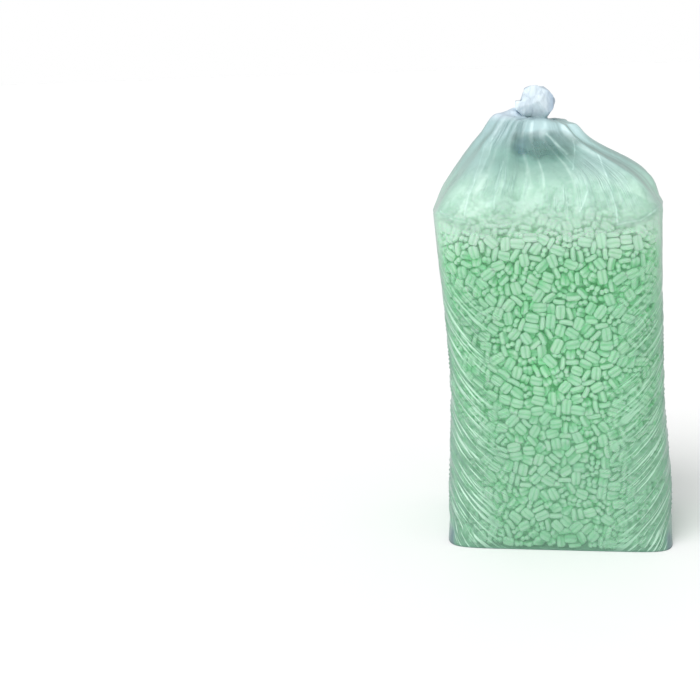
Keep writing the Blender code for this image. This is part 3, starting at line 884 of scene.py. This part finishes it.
def foam_material():
    """Puffed starch foam: pale mint, each peanut a little different, with fine cells and streaks; painted
    paler as highlight where lobes lie against the film, a stronger green as glow deeper in, whiter as light
    on the heap's top, and darker as shade in the notches between lobes and low down.
    """
    nodes = Nodes("starch_foam")
    place, _, _, z = nodes.place()
    island = nodes.tree.nodes.new("ShaderNodeNewGeometry").outputs["Random Per Island"]
    tint = nodes.mix(island, (0.48, 0.79, 0.55, 1), (0.35, 0.71, 0.46, 1))
    cells = nodes.noise(place, 260, 3, 0.6)
    clouds = nodes.noise(place, 60, 2)
    tint = nodes.mix(nodes.ramp(clouds, 0.35, 0.7, 0.0, 0.35), tint, (0.58, 0.82, 0.60, 1))
    depth = nodes.attribute("depth", "Fac")
    # Painted highlight: lobes lying against the film are painted paler
    tint = nodes.mix(nodes.ramp(depth, 0.008, 0.001, 0.0, 0.40), tint, (0.76, 0.94, 0.81, 1))
    # Painted glow: deeper foam is painted a stronger green, standing in for light that passes through the
    # foam into the gaps
    tint = nodes.mix(nodes.ramp(depth, 0.006, 0.020), tint, (0.38, 0.98, 0.50, 1))
    # Painted shade: the notch between a peanut's two lobes is painted darker green
    groove_shade = nodes.ramp(nodes.attribute("groove_shade", "Fac"), 0.35, 1.0, 0.0, 0.4)
    tint = nodes.mix(groove_shade, tint, (0.22, 0.70, 0.34, 1))
    # Painted light: foam near the heap's top is painted whiter, as if lit from above through the film
    tint = nodes.mix(nodes.ramp(z, 0.96, 1.10, 0.0, 0.85), tint, (0.78, 0.99, 0.85, 1))
    # Painted shade: the foam is painted darker towards the base
    tint = nodes.mix(nodes.ramp(z, 0.14, 0.02, 0.0, 0.5), tint, (0.34, 0.64, 0.43, 1))
    nodes.put("Base Color", tint)
    nodes.put("Roughness", nodes.ramp(cells, 0.3, 0.7, 0.62, 0.9))
    nodes.put("Specular IOR Level", 0.2)
    nodes.put("Subsurface Weight", 0.8)
    nodes.put("Subsurface Radius", (0.5, 1.0, 0.6))
    nodes.put("Subsurface Scale", 0.018)
    normal = nodes.bump(cells, 0.35, 0.0009)
    nodes.put("Normal", nodes.bump(clouds, 0.5, 0.003, normal))
    return nodes.material


def core_material():
    """The same foam deep in the bag, uneven: painted a darker, more saturated green, as painted shade with a
    green glow.
    """
    nodes = Nodes("foam_depth")
    place, _, _, _ = nodes.place()
    lumps = nodes.noise(place, 45, 2)
    share = nodes.ramp(lumps, 0.35, 0.65)
    nodes.put("Base Color", nodes.mix(share, (0.16, 0.68, 0.25, 1), (0.27, 0.88, 0.38, 1)))
    nodes.put("Roughness", 0.9)
    nodes.put("Normal", nodes.bump(lumps, 1.0, 0.01))
    return nodes.material


def sagging_folds(nodes, x, y, z):
    """Where the body's long low folds sag between its upright edges, and masks for the painted highlight on
    their lit sides and the painted shade on the others.
    """
    across = nodes.times(nodes.minus(x, WAIST_SHIFT), 1 / HALF_WIDTH)
    back = nodes.times(y, 1 / HALF_DEPTH)
    back = nodes.minus(SIDE_SAG, nodes.times(nodes.times(back, back), SIDE_SAG))
    corner = nodes.plus(nodes.times(across, across), back)
    sag = nodes.minus(z, nodes.times(corner, SAG))
    along_sag = nodes.vector(nodes.times(x, 7), nodes.times(y, 7), nodes.times(sag, 95))
    grain = nodes.noise(along_sag, 1.0, 3, 0.6)
    low = nodes.times(nodes.ramp(corner, 0.05, 0.65), nodes.ramp(z, 1.05, 0.70))
    low = nodes.times(low, nodes.ramp(x, -0.10, 0.30, 1.0, 0.75))
    low = nodes.times(low, nodes.ramp(nodes.math("ABSOLUTE", y), 0.12, 0.26, 0.45, 1.0))
    # Painted highlight on the low folds' lit sides, and painted shade on the others
    fold_highlight = nodes.times(nodes.ramp(grain, 0.52, 0.60), low)
    fold_shade = nodes.times(nodes.ramp(grain, 0.47, 0.40), low)
    return low, fold_highlight, fold_shade


def roof_gathers(nodes, place, z):
    """Hair-thin gathers that run up the roof in patches, which the film draws as thin lines of painted shade.
    """
    stretch = nodes.tree.nodes.new("ShaderNodeMapping")
    stretch.inputs["Scale"].default_value = (11, 11, 3.5)
    nodes.tree.links.new(nodes.attribute("weave", "Vector"), stretch.inputs["Vector"])
    hairs = nodes.line(nodes.noise(stretch.outputs[0], 1.0, 3, 0.6), 14)
    hairs = nodes.times(hairs, nodes.ramp(nodes.noise(place, 6, 2, 0.5), 0.45, 0.62))
    return nodes.times(hairs, nodes.ramp(z, 1.06, 1.18))


def front_creases(nodes, place, x, y, z):
    """The front's long creases as a painted highlight along each, and the painted shade beside them."""
    wobble = nodes.times(nodes.minus(nodes.noise(place, 22, 2), 0.5), 0.014)
    flat = nodes.vector(nodes.plus(x, wobble), 0.0, z)
    crease_highlight, shade = None, None
    for strength, width, line in CREASES:
        away = nodes.away_from_line(flat, line)
        lit = nodes.ramp(away, width * 1.2, 0.0, 0.0, strength / BRIGHTEST)
        beside = nodes.ramp(away, width * 4, width, 0.0, min(1.0, strength) * 0.6)
        crease_highlight = lit if crease_highlight is None else nodes.math("MAXIMUM", crease_highlight, lit)
        shade = beside if shade is None else nodes.math("MAXIMUM", shade, beside)
    front = nodes.ramp(y, 0.02, -0.02)
    broken = nodes.ramp(nodes.noise(place, 15, 2), 0.38, 0.58, 0.35, 1.0)
    return nodes.times(nodes.times(crease_highlight, front), broken), nodes.times(shade, front)


def base_ears(nodes, x, y, z):
    """The clear ears at the corners of the welded base, drawn a deep grey-blue, and its rim on the floor,
    drawn darker for the film's fold and as painted contact shadow.
    """
    ear = nodes.ramp(nodes.math("ABSOLUTE", nodes.minus(x, FOOT_SHIFT)), 0.333, 0.352)
    ear = nodes.times(ear, nodes.ramp(z, 0.070, 0.030))
    ear = nodes.times(ear, nodes.ramp(nodes.math("ABSOLUTE", y), 0.15, 0.24, 0.1, 1.0))
    return nodes.math("MAXIMUM", ear, nodes.ramp(z, 0.006, 0.001, 0.0, 0.5))


def print_fields(nodes, place, x, y, z):
    """The faded field of print on the back, and the clearer film that it shows through in front."""
    fields = []
    for middle_x, middle_z in (PRINT_PLACE, CLEAR_PLACE):
        wide = nodes.times(nodes.minus(x, middle_x), 1 / PRINT_HALF_WIDTH)
        high = nodes.times(nodes.minus(z, middle_z), 1 / PRINT_HALF_HEIGHT)
        uneven = nodes.times(nodes.noise(place, 15, 2), 0.9)
        away = nodes.plus(nodes.vector_math("LENGTH", nodes.vector(wide, 0.0, high)), uneven)
        fields.append(nodes.ramp(away, 1.65, 1.1))
    printed, clear = fields
    return nodes.times(printed, nodes.ramp(y, 0.02, 0.06)), nodes.times(clear, nodes.ramp(y, -0.04, -0.08))


def film_material():
    """Thin polythene film: clear over the fill, milky where it is gathered, densest in the tied tuft; its
    colour carries painted light and shade.
    """
    nodes = Nodes("clear_film")
    place, x, y, z = nodes.place()
    clouds = nodes.noise(place, 9, 3, 0.6)
    blobs = nodes.noise(place, 27, 2, 0.5)
    # Crumple lines in the tuft: a bump, and thin lines of painted shade in the film's colour
    crumple = nodes.line(nodes.noise(nodes.vector(x, y, nodes.times(z, 0.25)), 38, 2, 0.5), 11)
    crumple = nodes.times(crumple, nodes.ramp(z, 1.375, 1.40))
    low, fold_highlight, fold_shade = sagging_folds(nodes, x, y, z)
    hairs = roof_gathers(nodes, place, z)
    crease_highlight, shade = front_creases(nodes, place, x, y, z)
    ear = base_ears(nodes, x, y, z)
    near_neck = nodes.ramp(nodes.vector_math("DISTANCE", place, NECK_FRONT), 0.062, 0.030)
    printed, clear = print_fields(nodes, place, x, y, z)
    facing = nodes.add("ShaderNodeLayerWeight", Blend=0.5).outputs["Facing"]

    # How much each part of the film hides
    alpha = nodes.plus(nodes.ramp(z, 1.00, 1.14, 0.29, 0.60), nodes.ramp(z, 1.10, 1.20, 0.0, 0.18))
    for share, much in (
        (nodes.times(nodes.ramp(blobs, 0.35, 0.60), nodes.ramp(z, 1.0, 1.1)), 0.08),
        (nodes.ramp(z, 1.20, 1.36), 0.10),
        (nodes.ramp(z, 1.38, 1.41), 0.06),
        (fold_highlight, 0.60),
        (fold_shade, 0.34),
        (low, 0.08),
        (hairs, 0.08),
        (nodes.attribute("sharp", "Fac"), 0.06),
        (crease_highlight, 0.45),
        (shade, 0.10),
        (ear, 0.55),
        (nodes.ramp(z, 0.62, 0.25), 0.12),
        (near_neck, 0.20),
        (printed, 0.44),
        (clear, -0.42),
        (nodes.ramp(clouds, 0.40, 0.72), 0.08),
        (nodes.math("POWER", facing, 2.2), 0.80),
    ):
        alpha = nodes.plus(alpha, nodes.times(share, much))
    nodes.put("Alpha", nodes.plus(alpha, -0.10, clamp=True))

    # Its milkiness, with painted light: green painted in for the fill's light seen through the haze and
    # lighter over the heap, grey and then blue towards the knot, with painted highlights and shade on its
    # folds and edges
    middle = nodes.ramp(nodes.math("ABSOLUTE", nodes.minus(x, NECK_SHIFT)), 0.20, 0.08)
    # Painted light: the haze over the heap is painted green-white in blotches, the blurred light of the
    # peanuts behind
    haze = nodes.mix(nodes.ramp(blobs, 0.36, 0.64), (0.51, 0.85, 0.67, 1), (0.60, 0.92, 0.76, 1))
    cone = nodes.mix(middle, (0.42, 0.63, 0.60, 1), (0.27, 0.50, 0.43, 1))
    body = nodes.mix(nodes.ramp(z, 0.62, 0.25), (0.30, 0.79, 0.44, 1), (0.32, 0.68, 0.45, 1))
    # Painted light: the gathered film is painted lighter on its right, which faces away from the key light
    gathered = nodes.mix(nodes.ramp(x, -0.02, 0.06), (0.44, 0.63, 0.65, 1), (0.64, 0.86, 0.88, 1))
    # Painted light and shade: the tuft is painted lighter on its left, towards the key light, and a darker
    # blue-grey on its right
    tuft = nodes.mix(nodes.ramp(x, -0.035, 0.0), (0.76, 0.88, 0.95, 1), (0.45, 0.58, 0.72, 1))
    # Painted shade: where the film turns edge-on its colour is painted darker, more so below the knot than in
    # the tuft
    edge = nodes.mix(nodes.ramp(z, 1.36, 1.40), (0.13, 0.24, 0.21, 1), (0.28, 0.38, 0.48, 1))
    blue = nodes.mix(nodes.ramp(x, -0.125, -0.065), (0.12, 0.36, 0.78, 1), (0.30, 0.52, 0.62, 1))
    milk = body
    for share, colour in (
        # Painted light: over the heap the film is painted a light green, the heap's light seen through the
        # haze
        (nodes.ramp(z, 0.93, 1.03), (0.62, 0.98, 0.76, 1)),
        (nodes.ramp(z, 1.07, 1.14), haze),
        (nodes.ramp(z, 1.15, 1.26), cone),
        (nodes.ramp(z, 1.27, 1.35), gathered),
        # Painted highlight and painted shade along the low folds
        (nodes.times(fold_highlight, 0.8), (0.66, 0.90, 0.76, 1)),
        (nodes.times(fold_shade, 0.8), (0.16, 0.32, 0.24, 1)),
        # Painted shade beside the front's creases
        (nodes.times(shade, 0.5), (0.26, 0.46, 0.42, 1)),
        # Painted shade: thin darker lines in the roof's gathers
        (nodes.times(hairs, 0.4), (0.30, 0.48, 0.46, 1)),
        # Painted highlight along the front's creases
        (nodes.times(crease_highlight, 0.6), (0.70, 0.92, 0.86, 1)),
        (nodes.ramp(z, 1.37, 1.40), tuft),
        # Painted shade: thin darker blue lines in the tuft's crumples
        (nodes.times(crumple, 0.35), (0.48, 0.60, 0.72, 1)),
        # Painted highlight: a whitish patch on the film below the knot, where the film is also denser
        (nodes.times(near_neck, 0.7), (0.54, 0.74, 0.76, 1)),
        # Painted shade along the silhouettes, where the film turns edge-on; the film's rise in alpha there is
        # its own
        (nodes.times(nodes.math("POWER", facing, 1.7), 0.95), edge),
        (printed, blue),
        # Painted contact shadow along the base's rim, with the film's fold there; the clear ears drawn a deep
        # grey-blue
        (nodes.times(ear, 0.9), (0.12, 0.20, 0.22, 1)),
    ):
        milk = nodes.mix(share, milk, colour)
    nodes.put("Base Color", milk)
    nodes.put("Roughness", 0.30)
    nodes.put("IOR", 1.5)
    nodes.put("Coat Weight", 0.15)
    nodes.put("Coat Roughness", 0.25)
    normal = nodes.bump(nodes.noise(place, 40, 2, 0.5), 0.3, 0.003)
    relief = nodes.plus(nodes.minus(fold_highlight, fold_shade), nodes.minus(hairs, crumple))
    nodes.put("Normal", nodes.bump(relief, 0.5, 0.003, normal))
    return nodes.material


def floor_material():
    nodes = Nodes("floor")
    place, _, _, _ = nodes.place()
    tint = nodes.mix(nodes.noise(place, 3, 2), (0.93, 0.93, 0.93, 1), (0.95, 0.95, 0.95, 1))
    nodes.put("Base Color", tint)
    nodes.put("Roughness", 0.7)
    return nodes.material


# Stage

def floor():
    half = FLOOR_SIDE / 2
    points = np.array([(-half, -half, 0), (half, -half, 0), (half, half, 0), (-half, half, 0)])
    mesh = mesh_of("floor", points, [np.array([[0, 1, 2, 3]])])
    made = new_object("floor", mesh, floor_material(), smooth=False)
    made.location.z = -FLOOR_DROP


def soft_light(name, place, softness, strength):
    """A distant light from the direction of the place."""
    light = bpy.data.lights.new(name, "SUN")
    light.angle = math.radians(softness)
    light.energy = strength
    obj = bpy.data.objects.new(name, light)
    obj.location = place
    obj.rotation_euler = (AIM - Vector(place)).to_track_quat("-Z", "Y").to_euler()
    bpy.context.scene.collection.objects.link(obj)


def sky():
    """A dim sky with a white band at the horizon, so that the background is as white as the floor."""
    world = bpy.data.worlds.new("sky")
    world.use_nodes = True
    tree = world.node_tree
    coordinates = tree.nodes.new("ShaderNodeTexCoord")
    split = tree.nodes.new("ShaderNodeSeparateXYZ")
    tree.links.new(coordinates.outputs["Generated"], split.inputs[0])
    band = tree.nodes.new("ShaderNodeMapRange")
    band.interpolation_type = "SMOOTHSTEP"
    for name, number in (("From Min", 0.10), ("From Max", 0.35), ("To Min", 1.0), ("To Max", SKY_STRENGTH)):
        band.inputs[name].default_value = number
    tree.links.new(split.outputs["Z"], band.inputs["Value"])
    background = tree.nodes["Background"]
    background.inputs["Color"].default_value = (1, 1, 1, 1)
    tree.links.new(band.outputs["Result"], background.inputs["Strength"])
    bpy.context.scene.world = world


def camera():
    """Turned from the bag, so that it lies right of the picture's middle and still stands upright."""
    azimuth, elevation = CAMERA_AZIMUTH, CAMERA_ELEVATION
    back = Vector((
        math.sin(azimuth) * math.cos(elevation), -math.cos(azimuth) * math.cos(elevation), math.sin(elevation)
    ))
    right = Vector((math.cos(azimuth), math.sin(azimuth), 0))
    up = back.cross(right)
    place = AIM + CAMERA_DISTANCE * back
    half = IMAGE_SIDE / 2
    pan = math.atan((AIM_PIXEL[0] - half) / FOCAL_PIXELS)
    back, right = back * math.cos(pan) + right * math.sin(pan), right * math.cos(pan) - back * math.sin(pan)
    tilt = math.atan((half - AIM_PIXEL[1]) * math.cos(pan) / FOCAL_PIXELS)
    back, up = back * math.cos(tilt) + up * math.sin(tilt), up * math.cos(tilt) - back * math.sin(tilt)
    data = bpy.data.cameras.new("camera")
    data.sensor_width = SENSOR
    data.lens = FOCAL_PIXELS / IMAGE_SIDE * SENSOR
    obj = bpy.data.objects.new("camera", data)
    turn = Matrix((right, up, back)).transposed()
    obj.matrix_world = Matrix.Translation(place) @ turn.to_4x4()
    bpy.context.scene.collection.objects.link(obj)
    bpy.context.scene.camera = obj


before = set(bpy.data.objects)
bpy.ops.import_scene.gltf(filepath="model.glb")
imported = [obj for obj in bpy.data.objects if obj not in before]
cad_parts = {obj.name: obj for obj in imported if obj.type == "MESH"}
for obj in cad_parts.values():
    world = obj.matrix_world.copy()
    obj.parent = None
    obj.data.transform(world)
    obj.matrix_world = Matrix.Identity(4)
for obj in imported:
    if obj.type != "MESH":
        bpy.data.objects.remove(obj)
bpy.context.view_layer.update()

foam = foam_material()
for piece in peanut_pieces(foam):
    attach(piece, "root")
    if piece.name == "peanuts_heap":
        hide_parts(*[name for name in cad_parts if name.startswith("loose_peanut")])
    else:
        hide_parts("peanut_fill")
core = core_piece(core_material())
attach(core, "root")
film = film_piece(film_material())
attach(film, "root")
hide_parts("film_bag")

floor()
sky()
soft_light("key", KEY_PLACE, KEY_SOFTNESS, KEY_STRENGTH)
camera()
bpy.context.scene.view_settings.view_transform = "Standard"
